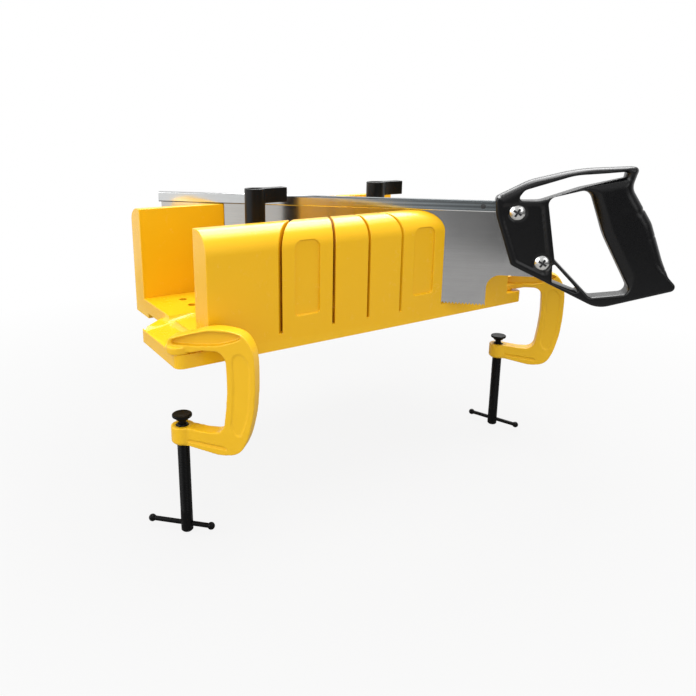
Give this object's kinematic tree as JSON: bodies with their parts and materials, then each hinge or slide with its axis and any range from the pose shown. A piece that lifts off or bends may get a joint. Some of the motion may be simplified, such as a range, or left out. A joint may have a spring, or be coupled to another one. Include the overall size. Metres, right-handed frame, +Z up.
{
  "type": "mitre box with back saw",
  "caption": "Yellow moulded mitre box with angled saw slots, a back saw with a black handle, black cam pegs and screw clamps that hold it to a bench edge.",
  "frame": {"origin": "on the underside of the box, under the point where the saw slots cross", "axes": "+X along the box to the right, +Y to the back, +Z up"},
  "size_m": [0.4458, 0.3606, 0.2958],
  "materials": {
    "yellow_moulding": "moulded yellow plastic with a soft sheen",
    "black_moulding": "moulded black plastic",
    "handle_moulding": "moulded black plastic, satin on the raised edges",
    "blade_steel": "ground and polished spring steel",
    "bright_zinc": "bright plated steel",
    "yellow_casting": "yellow enamel on a casting",
    "black_steel": "blackened steel, lightly oiled"
  },
  "bodies": {
    "box": {"mitre_box": "yellow_moulding"},
    "saw": {"saw_blade": "blade_steel", "saw_back": "blade_steel", "back_rivet": "bright_zinc", "saw_handle": "handle_moulding", "handle_screw_upper": "bright_zinc", "handle_screw_lower": "bright_zinc", "handle_nut_upper": "bright_zinc", "handle_nut_lower": "bright_zinc"},
    "peg_left": {"cam_peg_left": "black_moulding"},
    "peg_right": {"cam_peg_right": "black_moulding"},
    "clamp_left": {"clamp_frame_left": "yellow_casting"},
    "pad_left": {"swivel_pad_left": "black_steel"},
    "screw_left": {"clamp_screw_left": "black_steel"},
    "tee_left": {"tee_bar_left": "black_steel", "tee_ends_left": "black_steel"},
    "clamp_right": {"clamp_frame_right": "yellow_casting"},
    "pad_right": {"swivel_pad_right": "black_steel"},
    "screw_right": {"clamp_screw_right": "black_steel"},
    "tee_right": {"tee_bar_right": "black_steel", "tee_ends_right": "black_steel"}
  },
  "joints": [
    {"name": "saw_stroke", "type": "slide", "parent": "box", "child": "saw", "axis": [0.7071, -0.7071, 0], "range_m": [-0.03, 0.065]},
    {"name": "peg_left_turn", "type": "hinge", "parent": "box", "child": "peg_left", "pos_m": [-0.072, -0.017, 0], "axis": [0, 0, 1], "continuous": true},
    {"name": "peg_right_turn", "type": "hinge", "parent": "box", "child": "peg_right", "pos_m": [0.065, -0.017, 0], "axis": [0, 0, 1], "continuous": true},
    {"name": "clamp_left_slide", "type": "slide", "parent": "box", "child": "clamp_left", "axis": [-1, 0, 0], "range_m": [0, 0.03]},
    {"name": "pad_left_lift", "type": "slide", "parent": "clamp_left", "child": "pad_left", "axis": [0, 0, 1], "range_m": [-0.004, 0.036]},
    {"name": "screw_left_turn", "type": "hinge", "parent": "pad_left", "child": "screw_left", "pos_m": [-0.177, -0.0815, 0], "axis": [0, 0, 1], "range_deg": [-961, 8641]},
    {"name": "tee_left_slide", "type": "slide", "parent": "screw_left", "child": "tee_left", "axis": [0.7071, -0.7071, 0], "range_m": [-0.0128, 0.0228]},
    {"name": "clamp_right_slide", "type": "slide", "parent": "box", "child": "clamp_right", "axis": [1, 0, 0], "range_m": [0, 0.03]},
    {"name": "pad_right_lift", "type": "slide", "parent": "clamp_right", "child": "pad_right", "axis": [0, 0, 1], "range_m": [-0.004, 0.036]},
    {"name": "screw_right_turn", "type": "hinge", "parent": "pad_right", "child": "screw_right", "pos_m": [0.1938, -0.075, 0], "axis": [0, 0, 1], "range_deg": [-961, 8641]},
    {"name": "tee_right_slide", "type": "slide", "parent": "screw_right", "child": "tee_right", "axis": [0.309, -0.9511, 0], "range_m": [-0.0188, 0.0168]}
  ],
  "couplings": [
    {"joint": "screw_left_turn", "follows": "pad_left_lift", "rad_per_m": 4188.8},
    {"joint": "screw_right_turn", "follows": "pad_right_lift", "rad_per_m": 4188.8}
  ]
}
